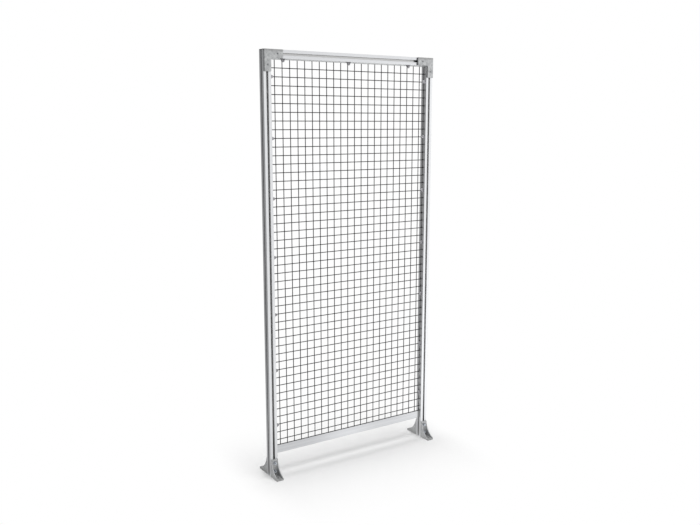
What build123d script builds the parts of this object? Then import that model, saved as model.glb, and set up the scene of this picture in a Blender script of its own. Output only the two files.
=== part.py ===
from build123d import *
import math
import os

# Fixed guard panel, in mm. Origin on the floor under its middle, x along it, front at -y, z up.

# Overall
panel_width = 976.0
panel_height = 2060.0

# Slotted extrusion of the posts and the top rail
profile = 40.0
profile_corner_radius = 1.5
slot_mouth = 10.2
slot_mouth_radius = 0.7
slot_lip = 4.5
slot_depth = 12.25
slot_chamber = 20.0
slot_chamber_straight = 2.0
slot_floor = 12.0
core_bore = 6.8

# Wire mesh
wire_diameter = 4.0
mesh_pitch = 40.0
mesh_side_margin = 20.0
mesh_bottom_margin = 20.0
top_wire_below_rail = 41.5
weld_gap = 0.02
wire_end_in_slot = 9.0

# Bottom rail
rail_height = 40.0
rail_floor_gap = 110.5
rail_wall = 1.7
rail_groove_depth = 12.0
rail_groove_clearance = 0.58
rail_edge_radius = 0.6
wire_end_above_groove_floor = 2.0

# End blocks of the bottom rail
block_plug_length = 30.0
block_foot_depth = 4.8
block_foot_width = 15.0
block_foot_end_gap = 2.0
pin_screw_diameter = 4.0
pin_screw_head = 8.0
pin_screw_head_height = 2.4
pin_screw_head_radius = 1.0
pin_screw_length = 8.0
pin_screw_key = 2.5
pin_screw_key_depth = 1.5

# Corner plates
plate_leg = 100.0
plate_side_inset = 2.0
plate_thickness = 8.0
plate_outer_radius = 3.0
plate_inner_radius = 4.0
plate_edge_radius = 1.8
plate_key_width_gap = 0.3
plate_key_height = 2.5
plate_key_share = 0.4
plate_screw_diameter = 6.0
sunk_head = 12.0
sunk_head_below_face = 0.3

# Foot brackets
foot_width = 38.0
foot_height = 90.0
foot_front_toe = 66.0
foot_rear_toe = 86.0
foot_back_plate = 5.0
foot_base_plate = 7.0
foot_cheek = 5.0
foot_tip_height = 8.0
foot_curve_sag = 0.15
foot_curve_lean = 3.0
foot_toe_radius = 4.0
foot_top_radius = 3.0
foot_inner_radius = 3.0
foot_rim_radius = 1.0
foot_lower_screw = 28.5
foot_upper_screw_below_top = 19.0
anchor_hole = 11.0
anchor_from_post = 42.0

# Screws, washers and slot nuts
screw_diameter = 8.0
screw_clearance = 0.6
thread_clearance = 0.1
cap_head = 13.0
cap_head_height = 8.0
cap_head_radius = 0.8
hex_key = 6.0
sunk_hex_key = 5.0
hex_depth = 4.0
washer_outer = 16.0
washer_thickness = 1.6
nut_width = 15.0
nut_length = 16.0
nut_thickness = 5.0
nut_chamfer = 1.5
screw_past_nut = 1.0

# Mesh clips
clip_base_length = 20.0
clip_base_thickness = 2.0
clip_tip_length = 9.0
clip_reach = 15.0
clip_front = 12.0
clip_back = 6.5
clip_foot_length = 14.0
clip_foot_width = 15.0
clip_foot_thickness = 4.0
clip_wire_clearance = 0.15
clip_slot_clearance = 0.15
clip_edge_radius = 0.8
clip_tip_radius = 2.4
post_clip_spacing = 280.0
post_clip_below_top_wire = 40.0
rail_clip_spacing = 360.0
rail_clip_from_end_wire = 40.0

# Edging strips that hold the mesh's top edge in the top rail's slot
strip_below_rail = 4.4
strip_groove_clearance = 0.18
strip_web = 1.0
strip_web_above_wires = 0.3
strip_barb_reach = 1.0
strip_barb_thickness = 1.0
strip_clip_gap = 0.3

# Post caps
cap_thickness = 3.5
cap_plug_length = 10.0
cap_plug_clearance = 0.1
cap_edge_radius = 1.0

# Fit between pieces that touch
slide_clearance = 0.15

# Positions that follow from the sizes
half = profile / 2
post_x = panel_width / 2 - half
inner_x = post_x - half
post_height = panel_height - cap_thickness
rail_z = panel_height - half
rail_under = panel_height - profile
bottom_rail_top = rail_floor_gap + rail_height
wire_radius = wire_diameter / 2
wire_offset = wire_radius + weld_gap / 2
mesh_thickness = 2 * wire_diameter + weld_gap
rail_groove = mesh_thickness + rail_groove_clearance
rail_depth = rail_groove + 2 * rail_wall
top_wire = rail_under - top_wire_below_rail
vertical_count = int((2 * (inner_x - mesh_side_margin)) // mesh_pitch) + 1
horizontal_count = int((top_wire - bottom_rail_top - mesh_bottom_margin) // mesh_pitch) + 1
vertical_xs = [(i - (vertical_count - 1) / 2) * mesh_pitch for i in range(vertical_count)]
horizontal_zs = [top_wire - j * mesh_pitch for j in range(horizontal_count)]
clip_zs = horizontal_zs[round(post_clip_below_top_wire / mesh_pitch)::round(post_clip_spacing / mesh_pitch)]
clip_xs = vertical_xs[round(rail_clip_from_end_wire / mesh_pitch)::round(rail_clip_spacing / mesh_pitch)]
screw_hole_radius = (screw_diameter + screw_clearance) / 2
plate_screw_hole_radius = (plate_screw_diameter + screw_clearance) / 2
cap_screw_length = washer_thickness + foot_back_plate + slot_lip + nut_thickness + screw_past_nut
sunk_screw_length = plate_thickness - sunk_head_below_face + slot_lip + nut_thickness + screw_past_nut
sunk_head_height = (sunk_head - plate_screw_diameter) / 2
plate_screw_from_edge = (profile + plate_leg) / 2
plate_key_room = (plate_leg - profile) / 2
foot_screw_heights = (foot_lower_screw, foot_height - foot_upper_screw_below_top)


def face_of(points):
    return make_face(Polyline(*points, close=True))


def slotted_face():
    # Rounded square with one T-shaped slot in each side and a bore in the core.
    m = slot_mouth / 2
    c = slot_chamber / 2
    f = slot_floor / 2
    top = half + 1
    lip = half - slot_lip
    straight = lip - slot_chamber_straight
    floor = half - slot_depth
    slot = face_of([(-m, top), (-m, lip), (-c, lip), (-c, straight), (-f, floor),
                    (f, floor), (c, straight), (c, lip), (m, lip), (m, top)])
    face = RectangleRounded(profile, profile, profile_corner_radius)
    for turn in range(4):
        face = face - Rot(0, 0, 90 * turn) * slot
    face = face - Circle(core_bore / 2)
    mouths = [v for v in face.vertices()
              if abs(max(abs(v.X), abs(v.Y)) - half) < 1e-4 and abs(min(abs(v.X), abs(v.Y)) - m) < 1e-4]
    return fillet(mouths, slot_mouth_radius)


def save(shape, name):
    export_step(shape, "parts/" + name + ".step")


def group(solids):
    return Compound(children=solids)


def bar(x0, x1, y0, y1, z0, z1):
    # Plain block between two corners.
    centre = Pos((x0 + x1) / 2, (y0 + y1) / 2, (z0 + z1) / 2)
    return centre * Box(x1 - x0, y1 - y0, z1 - z0)


def rod(radius, length):
    # Round bar from the origin along +z.
    return Cylinder(radius, length, align=(Align.CENTER, Align.CENTER, Align.MIN))


def hexagon(across, depth):
    # Hex socket to cut away, from the origin along +z.
    return extrude(RegularPolygon(across / 2, 6, major_radius=False), amount=depth)


def cap_screw():
    # Socket cap screw: under-head face at z 0, head towards +z, shank towards -z.
    head = fillet(rod(cap_head / 2, cap_head_height).edges().group_by(Axis.Z)[-1], cap_head_radius)
    head = head - Pos(0, 0, cap_head_height - hex_depth) * hexagon(hex_key, hex_depth + 1)
    shank = Pos(0, 0, -cap_screw_length) * rod(screw_diameter / 2, cap_screw_length)
    return head + shank


def sunk_screw():
    # Countersunk screw: its flat top at z 0, shank towards -z.
    drop = sunk_head_height
    head = Pos(0, 0, -drop / 2) * Cone(plate_screw_diameter / 2, sunk_head / 2, drop)
    shank = Pos(0, 0, -sunk_screw_length) * rod(plate_screw_diameter / 2, sunk_screw_length - drop / 2)
    return head + shank - Pos(0, 0, -hex_depth) * hexagon(sunk_hex_key, hex_depth + 1)


def slot_nut(thread):
    # Nut behind the slot's lips: its upper face at z 0, body towards -z, long side along x.
    body = Pos(0, 0, -nut_thickness / 2) * Box(nut_length, nut_width, nut_thickness)
    body = chamfer(body.edges().filter_by(Axis.X).group_by(Axis.Z)[0], nut_chamfer)
    return body - Pos(0, 0, -nut_thickness - 1) * rod(thread / 2 + thread_clearance, nut_thickness + 2)


def washer():
    # Flat washer from z 0 upwards.
    return rod(washer_outer / 2, washer_thickness) - rod(screw_hole_radius, washer_thickness)


def foot_bracket(toe):
    # Cast bracket on the front (-y) side of a post's face at y 0: back plate, base and two curved cheeks.
    tip = (-toe, foot_tip_height)
    top = (-foot_back_plate, foot_height)
    # The cheeks' curve sags by a share of its chord, but never comes upright where it meets the back plate.
    chord = math.dist(tip, top)
    slope = math.atan2(top[1] - tip[1], top[0] - tip[0])
    steepest = math.radians(90 - foot_curve_lean) - slope
    sag = min(foot_curve_sag * chord, chord / 2 * math.tan(steepest / 2))
    normal = ((top[1] - tip[1]) / chord, -(top[0] - tip[0]) / chord)
    middle = ((tip[0] + top[0]) / 2 + normal[0] * sag, (tip[1] + top[1]) / 2 + normal[1] * sag)
    outline = Polyline(top, (0, foot_height), (0, 0), (-toe, 0), tip) + ThreePointArc(tip, middle, top)
    side = foot_width / 2
    gap = side - foot_cheek
    body = extrude(Plane.YZ * make_face(outline), amount=side, both=True)
    channel = bar(-gap, gap, -2 * toe, -foot_back_plate, foot_base_plate, 2 * foot_height)
    inside = [e for e in channel.edges()
              if e.center().Y > -2 * toe + 1 and e.center().Z < 2 * foot_height - 1]
    body = body - fillet(inside, foot_inner_radius)
    toe_corners = [e for e in body.edges().filter_by(Axis.Z)
                   if abs(abs(e.center().X) - side) < 0.01 and abs(e.center().Y + toe) < 0.01]
    body = fillet(toe_corners, foot_toe_radius)
    top_corners = [e for e in body.edges().filter_by(Axis.Y)
                   if abs(abs(e.center().X) - side) < 0.01 and abs(e.center().Z - foot_height) < 0.01]
    body = fillet(top_corners, foot_top_radius)
    rims = [e for e in body.edges().filter_by(GeomType.CIRCLE) if e.length > chord / 2]
    body = fillet(rims, foot_rim_radius)
    for z in foot_screw_heights:
        body = body - Pos(0, 0, z) * Rot(90, 0, 0) * rod(screw_hole_radius, foot_back_plate)
    return body - Pos(0, -anchor_from_post, 0) * rod(anchor_hole / 2, foot_base_plate)


def corner_plate():
    # Left-hand cast plate: its back on y 0, its outer corner at x 0, z 0, its legs to +x and -z.
    near = plate_side_inset
    far = profile - plate_side_inset
    outline = face_of([(near, 0), (plate_leg, 0), (plate_leg, -profile), (far, -profile),
                       (far, -plate_leg), (near, -plate_leg)])
    outer = [v for v in outline.vertices() if not (abs(v.X - far) < 0.01 and abs(v.Y + profile) < 0.01)]
    outline = fillet(outer, plate_outer_radius)
    inner = [v for v in outline.vertices() if abs(v.X - far) < 0.01 and abs(v.Y + profile) < 0.01]
    outline = fillet(inner, plate_inner_radius)
    body = extrude(Plane.XZ * outline, amount=plate_thickness)
    front = body.faces().sort_by(Axis.Y)[0]
    body = fillet(front.edges(), plate_edge_radius)
    key = slot_mouth - plate_key_width_gap
    for side in (-0.5, 0.5):
        a = plate_screw_from_edge + (side - plate_key_share / 2) * plate_key_room
        b = a + plate_key_share * plate_key_room
        body = body + bar(a, b, 0, plate_key_height, -half - key / 2, -half + key / 2)
        body = body + bar(half - key / 2, half + key / 2, 0, plate_key_height, -b, -a)
    drop = sunk_head_height
    mouth = (sunk_head + screw_clearance) / 2
    sink = Pos(0, 0, -sunk_head_below_face - drop / 2) * Cone(plate_screw_hole_radius, mouth, drop)
    sink = sink + Pos(0, 0, -sunk_head_below_face) * rod(mouth, 2)
    sink = sink + Pos(0, 0, -plate_thickness) * rod(plate_screw_hole_radius, plate_thickness)
    for x, z in ((plate_screw_from_edge, -half), (half, -plate_screw_from_edge)):
        body = body - Pos(x, -plate_thickness, z) * Rot(90, 0, 0) * sink
    return body


def mesh_clip(wire_y, turned):
    # Clip standing on a slotted face at x 0, nose to +x, slot along z; the wire runs along x at wire_y.
    # Its base lies over the slot's mouth and its nose stands in front of the mesh. Turned: front at +y.
    b = clip_base_length / 2
    t = clip_tip_length / 2
    base = bar(0, clip_base_thickness, -clip_front, clip_back, -b, b)
    wedge = face_of([(0, -b), (clip_reach, -t), (clip_reach, t), (0, b)])
    nose = Pos(0, -wire_offset, 0) * extrude(Plane.XZ * wedge, amount=clip_front - wire_offset)
    nose = fillet(nose.edges().filter_by(Axis.Y).group_by(Axis.X)[-1], clip_tip_radius)
    rim = nose.faces().sort_by(Axis.Y)[0].edges().filter_by(lambda e: e.center().X > 0.1)
    nose = fillet(rim, clip_edge_radius)
    head = nose + base
    if turned:
        head = mirror(head, about=Plane.XZ)
    s = clip_slot_clearance
    n = slot_mouth / 2 - s
    f = clip_foot_length / 2
    w = clip_foot_width / 2
    lip = slot_lip + s
    neck = bar(-lip, 0, -n, n, -f, f)
    foot = bar(-lip - clip_foot_thickness, -lip, -w, w, -f, f)
    behind = lip + clip_foot_thickness + 1
    wire_hole = rod(wire_radius + clip_wire_clearance, behind + clip_reach + 1)
    hole = Pos(-behind, wire_y, 0) * Rot(0, 90, 0) * wire_hole
    return head + neck + foot - hole


def edging_strip(length):
    # Channel along x from x 0, open below, with barbs behind the slot's lips; z 0 on the rail's underside.
    outer = slot_mouth / 2 - slide_clearance
    inner = (mesh_thickness + strip_groove_clearance) / 2
    barb = outer + strip_barb_reach
    lip = slot_lip + slide_clearance
    web = wire_end_in_slot + strip_web_above_wires
    body = bar(0, length, -outer, outer, -strip_below_rail, web + strip_web)
    body = body + bar(0, length, -barb, barb, lip, lip + strip_barb_thickness)
    return body - bar(0, length, -inner, inner, -strip_below_rail, web)


def post_cap():
    # Cap on a post's open top end, z 0 at the post's end face.
    body = extrude(RectangleRounded(profile, profile, profile_corner_radius), amount=cap_thickness)
    body = fillet(body.edges().group_by(Axis.Z)[-1], cap_edge_radius)
    return body + Pos(0, 0, -cap_plug_length) * rod(core_bore / 2 - cap_plug_clearance, cap_plug_length)


def end_block():
    # Right-hand block: foot in the post's slot, neck through its mouth, plug in the rail's hollow.
    s = slide_clearance
    z0 = rail_floor_gap
    z1 = bottom_rail_top
    n = slot_mouth / 2 - s
    f = block_foot_width / 2
    p = rail_groove / 2 - s
    low, high = rail_hollow()
    lip = inner_x + slot_lip + s
    body = bar(lip, lip + block_foot_depth, -f, f, z0 + block_foot_end_gap, z1 - block_foot_end_gap)
    body = body + bar(inner_x, lip, -n, n, z0 + block_foot_end_gap, z1 - block_foot_end_gap)
    body = body + bar(inner_x - block_plug_length, inner_x, -p, p, low + s, high - s)
    x, z = pin_place()
    hole = rod(pin_screw_diameter / 2 + thread_clearance, 2 * p + 2)
    return body - Pos(x, p + 1, z) * Rot(90, 0, 0) * hole


def rail_hollow():
    # Lowest and highest z of the hollow inside the bottom rail.
    return rail_floor_gap + rail_wall, bottom_rail_top - rail_groove_depth - rail_wall


def pin_place():
    # Where the rear screw goes through the right-hand end of the bottom rail.
    return inner_x - block_plug_length / 2, sum(rail_hollow()) / 2


def pin_screw():
    # Pan head screw: under-head face at z 0, head towards +z.
    head = rod(pin_screw_head / 2, pin_screw_head_height)
    head = fillet(head.edges().group_by(Axis.Z)[-1], pin_screw_head_radius)
    socket = hexagon(pin_screw_key, pin_screw_head_height)
    head = head - Pos(0, 0, pin_screw_head_height - pin_screw_key_depth) * socket
    return head + Pos(0, 0, -pin_screw_length) * rod(pin_screw_diameter / 2, pin_screw_length)


def bottom_rail():
    # Flat extrusion: groove along its top for the mesh, one hollow below it.
    y = rail_depth / 2
    g = rail_groove / 2
    low, high = rail_hollow()
    body = bar(-inner_x, inner_x, -y, y, rail_floor_gap, bottom_rail_top)
    body = fillet(body.edges().filter_by(Axis.X), rail_edge_radius)
    body = body - bar(-inner_x, inner_x, -g, g, bottom_rail_top - rail_groove_depth, bottom_rail_top + 1)
    body = body - bar(-inner_x, inner_x, -g, g, low, high)
    x, z = pin_place()
    hole = rod((pin_screw_diameter + screw_clearance) / 2, rail_wall + 2)
    for side in (-x, x):
        body = body - Pos(side, y + 1, z) * Rot(90, 0, 0) * hole
    return body


os.makedirs("parts", exist_ok=True)

# Posts and top rail
section = slotted_face()
post = extrude(section, amount=post_height)
save(Pos(-post_x, 0, 0) * post, "left_post")
save(Pos(post_x, 0, 0) * post, "right_post")
beam = extrude(section, amount=2 * inner_x)
save(Pos(-inner_x, 0, rail_z) * Rot(0, 90, 0) * beam, "top_rail")

# Post caps
save(Pos(-post_x, 0, post_height) * post_cap(), "left_post_cap")
save(Pos(post_x, 0, post_height) * post_cap(), "right_post_cap")

# Bottom rail with its end blocks and rear screws
save(bottom_rail(), "bottom_rail")
block = end_block()
save(block, "right_rail_end_block")
save(mirror(block, about=Plane.YZ), "left_rail_end_block")
pin_x, pin_z = pin_place()
save(group([Pos(x, rail_depth / 2, pin_z) * Rot(-90, 0, 0) * pin_screw() for x in (-pin_x, pin_x)]),
     "rail_end_screws")

# Mesh, each wire a solid of its own
low_end = bottom_rail_top - rail_groove_depth + wire_end_above_groove_floor
high_end = rail_under + wire_end_in_slot
wire_up = rod(wire_radius, high_end - low_end)
save(group([Pos(x, wire_offset, low_end) * wire_up for x in vertical_xs]), "mesh_vertical_wires")
side_end = inner_x + wire_end_in_slot
wire_across = Rot(0, 90, 0) * rod(wire_radius, 2 * side_end)
save(group([Pos(-side_end, -wire_offset, z) * wire_across for z in horizontal_zs]), "mesh_horizontal_wires")

# Mesh clips
left_clip = mesh_clip(-wire_offset, False)
right_clip = Rot(0, 0, 180) * mesh_clip(wire_offset, True)
top_clip = Rot(0, 90, 0) * mesh_clip(wire_offset, False)
save(group([Pos(-inner_x, 0, z) * left_clip for z in clip_zs]), "left_mesh_clips")
save(group([Pos(inner_x, 0, z) * right_clip for z in clip_zs]), "right_mesh_clips")
save(group([Pos(x, 0, rail_under) * top_clip for x in clip_xs]), "top_mesh_clips")

# Edging strips between the clips under the top rail
strip_ends = [-inner_x + slide_clearance]
for x in clip_xs:
    strip_ends += [x - clip_base_length / 2 - strip_clip_gap, x + clip_base_length / 2 + strip_clip_gap]
strip_ends.append(inner_x - slide_clearance)
strip_spans = list(zip(strip_ends[::2], strip_ends[1::2]))
save(group([Pos(a, 0, rail_under) * edging_strip(b - a) for a, b in strip_spans]), "top_edging_strips")

# Corner plates with their screws and nuts
plate = corner_plate()
outer_x = panel_width / 2
left_plate = Pos(-outer_x, -half, panel_height) * plate
save(left_plate, "left_corner_plate")
save(mirror(left_plate, about=Plane.YZ), "right_corner_plate")
along_x = outer_x - plate_screw_from_edge
down_z = panel_height - plate_screw_from_edge
plate_spots = [(-along_x, rail_z, 0), (along_x, rail_z, 0), (-post_x, down_z, 90), (post_x, down_z, 90)]
plate_front = -half - plate_thickness + sunk_head_below_face
save(group([Pos(x, plate_front, z) * Rot(90, 0, 0) * sunk_screw() for x, z, turn in plate_spots]),
     "corner_plate_screws")
save(group([Pos(x, -half + slot_lip, z) * Rot(90, 0, 0) * Rot(0, 0, turn) * slot_nut(plate_screw_diameter)
            for x, z, turn in plate_spots]), "corner_plate_nuts")

# Foot brackets with their screws, washers and nuts
front_foot = Pos(0, -half, 0) * foot_bracket(foot_front_toe)
rear_foot = Rot(0, 0, 180) * Pos(0, -half, 0) * foot_bracket(foot_rear_toe)
for x, side in ((-post_x, "left"), (post_x, "right")):
    save(Pos(x, 0, 0) * front_foot, side + "_front_foot")
    save(Pos(x, 0, 0) * rear_foot, side + "_rear_foot")
screws = []
washers = []
nuts = []
for x in (-post_x, post_x):
    for turn in (0, 180):
        for z in foot_screw_heights:
            place = Pos(x, 0, z) * Rot(0, 0, turn)
            seat = place * Pos(0, -half - foot_back_plate, 0) * Rot(90, 0, 0)
            behind_lip = place * Pos(0, -half + slot_lip, 0) * Rot(90, 0, 0) * Rot(0, 0, 90)
            washers.append(seat * washer())
            screws.append(seat * Pos(0, 0, washer_thickness) * cap_screw())
            nuts.append(behind_lip * slot_nut(screw_diameter))
save(group(screws), "foot_screws")
save(group(washers), "foot_washers")
save(group(nuts), "foot_nuts")
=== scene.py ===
import math
import bmesh
import bpy
from mathutils import Matrix, Vector


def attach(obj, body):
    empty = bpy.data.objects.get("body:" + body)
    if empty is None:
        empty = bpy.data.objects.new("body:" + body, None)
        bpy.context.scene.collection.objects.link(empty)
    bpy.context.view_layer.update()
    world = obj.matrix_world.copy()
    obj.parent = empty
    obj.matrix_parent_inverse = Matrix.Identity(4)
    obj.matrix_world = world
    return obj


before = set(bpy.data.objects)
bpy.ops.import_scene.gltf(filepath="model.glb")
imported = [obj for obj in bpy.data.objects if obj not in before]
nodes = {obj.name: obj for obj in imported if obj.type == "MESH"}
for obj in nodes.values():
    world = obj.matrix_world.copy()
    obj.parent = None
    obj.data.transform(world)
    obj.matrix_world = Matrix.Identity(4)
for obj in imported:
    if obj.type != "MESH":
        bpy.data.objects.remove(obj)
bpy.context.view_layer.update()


# Posts: two square aluminium extrusions with a T-shaped slot down every side, sawn off and satin anodised.
# Pressing the metal through its die leaves faint lines along the bar; painted shade darkens the slots and the
# post near its foot.
# Both stand on the floor, held by the screws of their foot brackets.

class Shade:
    """One output of a material's nodes; arithmetic on it adds Math nodes."""

    def __init__(self, tree, socket=None):
        self.tree = tree
        self.socket = socket

    def node(self, kind, settings=None, inputs=None, output=0):
        made = self.tree.nodes.new(kind)
        for name, value in (settings or {}).items():
            setattr(made, name, value)
        for name, value in (inputs or {}).items():
            if isinstance(value, Shade):
                self.tree.links.new(value.socket, made.inputs[name])
            else:
                made.inputs[name].default_value = value
        return Shade(self.tree, made.outputs[output] if made.outputs else None)

    def maths(self, operation, a, b=0.0):
        return self.node("ShaderNodeMath", {"operation": operation}, {0: a, 1: b})

    def __add__(self, other):
        return self.maths("ADD", self, other)

    def __radd__(self, other):
        return self.maths("ADD", other, self)

    def __sub__(self, other):
        return self.maths("SUBTRACT", self, other)

    def __rsub__(self, other):
        return self.maths("SUBTRACT", other, self)

    def __mul__(self, other):
        return self.maths("MULTIPLY", self, other)

    def __rmul__(self, other):
        return self.maths("MULTIPLY", other, self)

    def __abs__(self):
        return self.maths("ABSOLUTE", self)


def new_finish(name):
    material = bpy.data.materials.new(name)
    material.use_nodes = True
    material.node_tree.nodes.clear()
    shade = Shade(material.node_tree)
    place = shade.node("ShaderNodeTexCoord", output="Object")
    return material, shade, place


def close_finish(shade, sockets):
    surface = shade.node("ShaderNodeBsdfPrincipled", inputs=sockets)
    shade.node("ShaderNodeOutputMaterial", inputs={"Surface": surface})


def axis(shade, place, letter):
    return shade.node("ShaderNodeSeparateXYZ", inputs={0: place}, output=letter)


def noise(shade, place, scale, detail, stretch=(1, 1, 1)):
    turned = shade.node("ShaderNodeMapping", inputs={"Vector": place, "Scale": stretch})
    return shade.node("ShaderNodeTexNoise", inputs={"Vector": turned, "Scale": scale, "Detail": detail})


def die_lines(shade, place, run, lengthwise, crosswise, detail):
    stretch = tuple(lengthwise if letter == run else crosswise for letter in "XYZ")
    return noise(shade, place, 1.0, detail, stretch)


def blend(shade, factor, low, high):
    return shade.node("ShaderNodeMix", {"data_type": "RGBA"}, {"Factor": factor, 6: low, 7: high}, output=2)


def rise(shade, value, start, end):
    return shade.node("ShaderNodeMapRange", {"interpolation_type": "SMOOTHSTEP"},
                      {"Value": value, "From Min": start, "From Max": end})


def relief(shade, height, strength, distance):
    return shade.node("ShaderNodeBump", inputs={"Strength": strength, "Distance": distance, "Height": height})


def grey(level, warm=0.0, cool=0.0):
    return (level + warm, level, level + cool, 1)


def dress(material, *names):
    for name in names:
        nodes[name].data.materials.clear()
        nodes[name].data.materials.append(material)


# Painted shade mask: 1 inside a bar's slots, where shade falls, and 0 on its outer faces.
def slot_shade_mask(shade, a, b):
    slot_deep = 0.0170
    outer_face = 0.0198
    return 1 - rise(shade, shade.maths("MAXIMUM", abs(a), abs(b)), slot_deep, outer_face)


def anodise(shade, place, run, low, high, painted_shade, shade_tone):
    lines = die_lines(shade, place, run, 4, 900, 3.0)
    streaks = die_lines(shade, place, run, 0.7, 120, 2.0)
    cloud = noise(shade, place, 9.0, 2.0)
    mixed = rise(shade, lines * 0.5 + streaks * 0.5, 0.36, 0.64)
    bright = blend(shade, mixed, grey(low, -0.01, 0.02), grey(high, -0.01, 0.02))
    # The painted shade mask blends the metal towards a darker tone.
    close_finish(shade, {"Base Color": blend(shade, painted_shade, bright, shade_tone), "Metallic": 1.0,
                         "Roughness": 0.22 + cloud * 0.1 + lines * 0.08,
                         "Normal": relief(shade, lines, 0.06, 0.0005)})


post_middle = 0.468
floor_shade_starts = 0.03
foot_shade_ends = 0.12
foot_shade_share = 0.35
slot_shade_ends = 0.30
post_metal, shade, place = new_finish("post_metal")
height = axis(shade, place, "Z")
slot_shade = slot_shade_mask(shade, abs(axis(shade, place, "X")) - post_middle, axis(shade, place, "Y"))
# Painted shade: the post darkens near the floor, and its slots darken most there.
foot_shade = foot_shade_share * (1 - rise(shade, height, floor_shade_starts, foot_shade_ends))
post_shade_tone = blend(shade, rise(shade, height, floor_shade_starts, slot_shade_ends), grey(0.36), grey(0.74))
anodise(shade, place, "Z", 0.88, 0.97, shade.maths("MAXIMUM", slot_shade, foot_shade), post_shade_tone)
dress(post_metal, "left_post", "right_post")

# Top rail: a length of the same extrusion lying between the posts, flush with their tops.
# It is anodised like them; its die lines run along it.

top_rail_middle = 2.04
rail_metal, shade, place = new_finish("rail_metal")
# Painted shade inside the rail's slots.
slot_shade = slot_shade_mask(shade, axis(shade, place, "Y"), axis(shade, place, "Z") - top_rail_middle)
anodise(shade, place, "X", 0.82, 0.91, slot_shade, grey(0.66))
dress(rail_metal, "top_rail")

# Post caps: lids moulded in dark grey plastic, with a fine spark-eroded grain.
# Each is pushed into the core bore at the top of a post.


def moulded(name, grains, dark, light, dull):
    made, shade, place = new_finish(name)
    grain = noise(shade, place, grains, 2.0)
    close_finish(shade, {"Base Color": blend(shade, grain, dark, light), "Roughness": dull + grain * 0.15,
                         "Normal": relief(shade, grain, 0.2, 0.0003)})
    return made


cap_plastic = moulded("cap_plastic", 1500.0, grey(0.055, cool=0.003), grey(0.08, cool=0.004), 0.55)
dress(cap_plastic, "left_post_cap", "right_post_cap")

# Bottom rail: a thin flat-faced aluminium extrusion with a groove along its top that takes the mesh.
# It is anodised like the posts, which hold it through a block at each end; painted shade darkens its groove,
# and a painted dark reflection of the right post darkens its right end.

groove_zone_bottom = 0.1380
groove_zone_half = 0.0045
sharp = 0.0001
end_shade_from = 0.430
end_shade_to = 0.442
foot_rail_metal, shade, place = new_finish("foot_rail_metal")
# Painted shade in the groove, and a painted dark reflection at the right end.
above = rise(shade, axis(shade, place, "Z"), groove_zone_bottom, groove_zone_bottom + sharp)
outside = rise(shade, abs(axis(shade, place, "Y")), groove_zone_half - sharp, groove_zone_half + sharp)
right_end = rise(shade, axis(shade, place, "X"), end_shade_from, end_shade_to)
painted_shade = shade.maths("MAXIMUM", above * (1 - outside), right_end)
anodise(shade, place, "X", 0.74, 0.86, painted_shade, blend(shade, right_end, grey(0.60), grey(0.32)))
dress(foot_rail_metal, "bottom_rail")

# End blocks of the bottom rail: grey plastic mouldings, half in the rail's hollow, half in the post's slot.
# A zinc plated screw through the rail's rear wall pins each of them.


def close_zinc(shade, place, tone, patch, metallic, dull):
    grit = noise(shade, place, 1400.0, 2.0)
    close_finish(shade, {"Base Color": tone, "Metallic": metallic, "Roughness": dull + patch * 0.16,
                         "Normal": relief(shade, grit, 0.15, 0.0003)})


def plated(name, dark, light, metallic, dull):
    made, shade, place = new_finish(name)
    patch = noise(shade, place, 220.0, 3.0)
    close_zinc(shade, place, blend(shade, patch, dark, light), patch, metallic, dull)
    return made


block_plastic = moulded("block_plastic", 1500.0, grey(0.20, cool=0.005), grey(0.26, cool=0.005), 0.5)
dress(block_plastic, "left_rail_end_block", "right_rail_end_block")
zinc = plated("zinc", grey(0.64, -0.04, 0.06), grey(0.76, -0.04, 0.06), 0.6, 0.28)
dress(zinc, "rail_end_screws")

# Mesh: drawn steel wires, the level ones in front of the upright ones, welded at every crossing.
# The finished sheet is powder coated dark grey; the coat is a little uneven and fills the welds.


def add_piece(name, shape, material):
    mesh = bpy.data.meshes.new(name)
    shape.to_mesh(mesh)
    shape.free()
    mesh.materials.append(material)
    piece = bpy.data.objects.new(name, mesh)
    bpy.context.scene.collection.objects.link(piece)
    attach(piece, "root")


wire_coat, shade, place = new_finish("wire_coat")
grain = noise(shade, place, 400.0, 3.0)
tone = blend(shade, grain, grey(0.012, cool=0.001), grey(0.024, cool=0.002))
close_finish(shade, {"Base Color": tone, "Roughness": 0.5 + grain * 0.2, "Specular IOR Level": 0.3,
                     "Normal": relief(shade, grain, 0.15, 0.0003)})
dress(wire_coat, "mesh_vertical_wires", "mesh_horizontal_wires")
upright_wires = 22
level_wires = 46
mesh_pitch = 0.04
top_wire = 1.9785
welds = bmesh.new()
bead = Matrix.Diagonal((0.0019, 0.0011, 0.0019, 1))
for column in range(upright_wires):
    for row in range(level_wires):
        x = (column - (upright_wires - 1) / 2) * mesh_pitch
        spot = Matrix.Translation((x, 0, top_wire - row * mesh_pitch))
        bmesh.ops.create_icosphere(welds, subdivisions=1, radius=1.0, matrix=spot @ bead)
add_piece("mesh_welds", welds, wire_coat)

# Mesh clips: noses moulded in grey plastic, whose feet were turned into the slots of posts and top rail.
# Each grips one wire of the mesh from the front.

clip_plastic = moulded("clip_plastic", 1200.0, grey(0.335, 0.005, 0.02), grey(0.425, 0.005, 0.02), 0.35)
dress(clip_plastic, "left_mesh_clips", "right_mesh_clips", "top_mesh_clips")

# Edging strips: plain aluminium channels, extruded and cut to fit between the clips under the top rail.
# Their barbs snap behind the slot's lips, and the upper ends of the mesh's upright wires stand in them.

strip_metal, shade, place = new_finish("strip_metal")
lines = die_lines(shade, place, "X", 6, 700, 3.0)
tone = blend(shade, lines, grey(0.75, warm=-0.01), grey(0.87, warm=-0.01))
close_finish(shade, {"Base Color": tone, "Metallic": 0.8, "Roughness": 0.35 + lines * 0.15,
                     "Normal": relief(shade, lines, 0.1, 0.0003)})
dress(strip_metal, "top_edging_strips")

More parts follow.
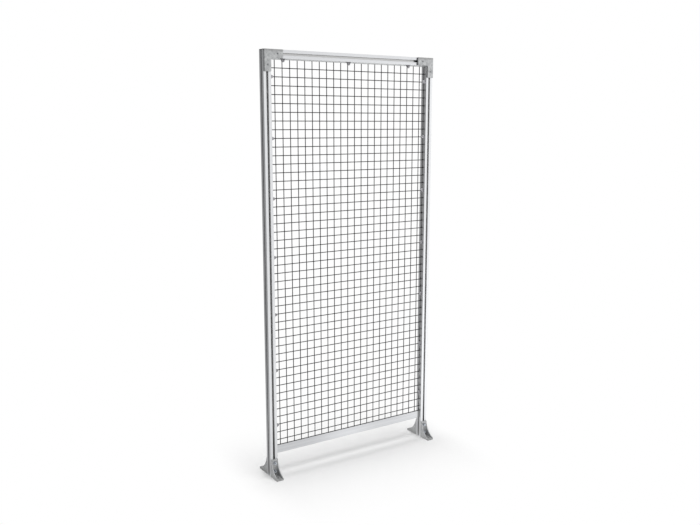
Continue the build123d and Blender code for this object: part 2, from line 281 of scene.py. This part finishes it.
# Corner plates: die cast aluminium angles, rough from the mould, keyed into the slots of post and top rail.
# The casting is mottled, and a painted dark reflection lies along its upper edge; a countersunk screw and a
# slot nut hold each leg.

top_shade_starts = 2.044
top_shade_ends = 2.057
top_edge_shade = 0.7


def cast(name, low, high, metallic, dull, bumps):
    made, shade, place = new_finish(name)
    fine = noise(shade, place, 700.0, 4.0)
    patch = noise(shade, place, 90.0, 3.0)
    spots = rise(shade, fine * 0.3 + patch * 0.7, 0.36, 0.64)
    metal = blend(shade, spots, grey(low, -0.01, 0.005), grey(high, -0.01, 0.005))
    height = axis(shade, place, "Z")
    # Painted shade near the floor, and a painted dark reflection along the upper edge.
    unshaded = rise(shade, height, -0.01, 0.03) * (1 - top_edge_shade * rise(shade, height, top_shade_starts, top_shade_ends))
    close_finish(shade, {"Base Color": blend(shade, unshaded, grey(0.36), metal), "Metallic": metallic,
                         "Roughness": dull + fine * 0.16, "Normal": relief(shade, fine, bumps, 0.0008)})
    return made


plate_metal = cast("plate_metal", 0.46, 0.65, metallic=1.0, dull=0.28, bumps=0.4)
dress(plate_metal, "left_corner_plate", "right_corner_plate")
dull_zinc = plated("dull_zinc", grey(0.49, -0.01, 0.01), grey(0.59, -0.01, 0.01), 1.0, 0.45)
dress(dull_zinc, "corner_plate_screws")
dress(zinc, "corner_plate_nuts")

# Foot brackets: die cast aluminium gussets with two curved cheeks, short in front of the posts, long behind.
# Two socket screws hold each to the post's slot; the base has a hole for a floor anchor.
# They are cast like the corner plates, but duller, with painted shade where they meet the floor.

foot_metal = cast("foot_metal", 0.55, 0.68, metallic=0.5, dull=0.38, bumps=0.5)
dress(foot_metal, "left_front_foot", "left_rear_foot", "right_front_foot", "right_rear_foot")

# Foot screws: zinc plated socket cap screws with knurled heads, each on a washer and into a nut in the slot.
# The knurls are rolled into the rim of the head so that fingers can start the screw; socket and rim carry
# painted shade.

low_screw = 0.0285
high_screw = 0.071
head_middle = 0.0304
head_radius = 0.0064
knurl_count = 36
knurl_width = 0.0005
knurl_length = 0.006
dress(zinc, "foot_washers", "foot_nuts")
screw_zinc, shade, place = new_finish("screw_zinc")
patch = noise(shade, place, 220.0, 3.0)
aside = abs(axis(shade, place, "X")) - post_middle
height = axis(shade, place, "Z")
above = shade.maths("MINIMUM", abs(height - low_screw), abs(height - high_screw))
radius = shade.maths("SQRT", aside * aside + above * above)
bright = blend(shade, patch, grey(0.79, -0.05, 0.07), grey(0.89, -0.05, 0.07))
# Painted shade in the socket and on the rim of the head.
face = blend(shade, rise(shade, radius, 0.0026, 0.0030), grey(0.105, -0.005, 0.005), bright)
tone = blend(shade, rise(shade, radius, 0.0060, 0.0063), face, grey(0.29, -0.01, 0.02))
close_zinc(shade, place, tone, patch, 0.4, 0.28)
dress(screw_zinc, "foot_screws")
knurls = bmesh.new()
ridge = Matrix.Diagonal((knurl_width, knurl_length, knurl_width, 1))
tooth = Matrix.Translation((0, 0, head_radius)) @ Matrix.Rotation(math.radians(45), 4, "Y") @ ridge
for x in (-post_middle, post_middle):
    for y in (-head_middle, head_middle):
        for z in (low_screw, high_screw):
            for step in range(knurl_count):
                turn = Matrix.Rotation(math.radians(360 / knurl_count * step), 4, "Y")
                bmesh.ops.create_cube(knurls, size=1.0, matrix=Matrix.Translation((x, y, z)) @ turn @ tooth)
# The knurls take the darker zinc, which paints shade on the head's rim.
add_piece("foot_screw_knurls", knurls, dull_zinc)

# Floor: a pale sheet that fades to white away from the panel and keeps its shadow.
# Metal mirrors it as pale in front, with bands near the panel and glare on the right, and as grey behind.
# It belongs to the picture, not to the panel.

floor_half = 14.0
panel_half = 0.46
fade_ends = 0.65
brightest = 1.2
sheet = bmesh.new()
bmesh.ops.create_grid(sheet, x_segments=1, y_segments=1, size=floor_half)
floor_mesh = bpy.data.meshes.new("floor")
sheet.to_mesh(floor_mesh)
sheet.free()
floor = bpy.data.objects.new("floor", floor_mesh)
bpy.context.scene.collection.objects.link(floor)
floor_paint, shade, place = new_finish("floor_paint")
along = axis(shade, place, "X")
away = axis(shade, place, "Y")
beside = shade.maths("MAXIMUM", abs(along) - panel_half, 0.0) * 3
fade = rise(shade, shade.maths("SQRT", beside * beside + away * away), 0.0, fade_ends)
lean = along + away * 0.5
bands = 0.25 * rise(shade, lean, -0.24, -0.04) - 0.15 * rise(shade, lean, 0.02, 0.22) - 0.18
glare = 0.2 * rise(shade, lean, 0.48, 0.62) * (1 - rise(shade, lean, 1.2, 1.8))
ahead = 0.92 + 0.08 * rise(shade, lean, 0.30, 0.46) + glare + bands * rise(shade, away, -0.7, -0.3)
rear = 0.20 * rise(shade, along, 0.0, 0.5) + 0.30 * rise(shade, along + away * 0.65, 0.7, 2.0)
behind = 0.42 + rear - 0.17 * rise(shade, away, 0.0, 3.0)
front = rise(shade, lean, -1.1, -0.65) * (1 - rise(shade, away, -0.02, 0.02))
sheen = ahead * front + behind * (1 - front)
seen = shade.node("ShaderNodeLightPath", output="Is Camera Ray")
glossy = shade.node("ShaderNodeLightPath", output="Is Glossy Ray")
through = shade.node("ShaderNodeLightPath", output="Is Transmission Ray")
paint = shade.node("ShaderNodeBsdfDiffuse", inputs={"Color": grey(0.90)})
white = shade.node("ShaderNodeEmission", inputs={"Color": grey(1.0), "Strength": brightest})
dark = shade.node("ShaderNodeEmission", inputs={"Color": grey(0.0), "Strength": 0.0})
share = (seen + through + glossy * sheen) * (1 / brightest)
glow = shade.node("ShaderNodeMixShader", inputs={0: share, 1: dark, 2: white})
mixed = shade.node("ShaderNodeMixShader", inputs={0: fade * (seen + through) + glossy, 1: paint, 2: glow})
shade.node("ShaderNodeOutputMaterial", inputs={"Surface": mixed})
floor_mesh.materials.append(floor_paint)

# Light: three soft boxes overhead, in front of, above and behind the panel, in an even white room.
# Metal reflects a pale wall in front, palest on the right, and a grey one behind, darkest on the left.

room_light = 0.25
world = bpy.data.worlds.new("studio")
bpy.context.scene.world = world
world.use_nodes = True
world.node_tree.nodes.clear()
sky = Shade(world.node_tree)
heading = sky.node("ShaderNodeTexCoord", output="Generated")
across = axis(sky, heading, "X")
ahead = 0.80 + 0.08 * rise(sky, across, 0.40, 0.55) + 0.12 * rise(sky, across, 0.52, 0.58)
behind = 0.26 + 0.44 * rise(sky, across, -0.3, 0.1)
front = rise(sky, across, -0.1, 0.3) * (1 - rise(sky, axis(sky, heading, "Y"), -0.05, 0.05))
sheen = ahead * front + behind * (1 - front)
seen = sky.node("ShaderNodeLightPath", output="Is Camera Ray")
glossy = sky.node("ShaderNodeLightPath", output="Is Glossy Ray")
through = sky.node("ShaderNodeLightPath", output="Is Transmission Ray")
strength = room_light * (1 - (seen + glossy + through)) + seen + through + glossy * sheen
backdrop = sky.node("ShaderNodeBackground", inputs={"Color": grey(1.0), "Strength": strength})
sky.node("ShaderNodeOutputWorld", inputs={"Surface": backdrop})


def soft_box(name, away, width, depth, power):
    box_height = 3.0
    aim = Vector((0, 0, 0.1))
    lamp = bpy.data.lights.new(name, "AREA")
    lamp.shape = "RECTANGLE"
    lamp.size = width
    lamp.size_y = depth
    lamp.energy = power
    box = bpy.data.objects.new(name, lamp)
    box.location = (0, away, box_height)
    box.rotation_euler = (aim - box.location).to_track_quat("-Z", "Y").to_euler()
    box.visible_glossy = False
    bpy.context.scene.collection.objects.link(box)


soft_box("front_box", away=-0.63, width=3.0, depth=1.5, power=52)
soft_box("top_box", away=0.16, width=3.0, depth=0.6, power=30)
soft_box("rear_box", away=1.0, width=3.0, depth=0.77, power=19)

# Camera: stands in front of the panel and to its left, a little above half its height.
# Its place and lens were fitted to the wires of the mesh.

tilt_down = 10.014
turn_right = 32.833
lens = bpy.data.cameras.new("camera")
lens.sensor_fit = "HORIZONTAL"
lens.sensor_width = 36.0
lens.lens = 40.30
lens.clip_end = 100
camera = bpy.data.objects.new("camera", lens)
camera.location = (-2.1336, -3.2947, 1.7242)
camera.rotation_euler = (math.radians(90 - tilt_down), 0, math.radians(-turn_right))
bpy.context.scene.collection.objects.link(camera)
bpy.context.scene.camera = camera
bpy.context.scene.view_settings.view_transform = "Standard"
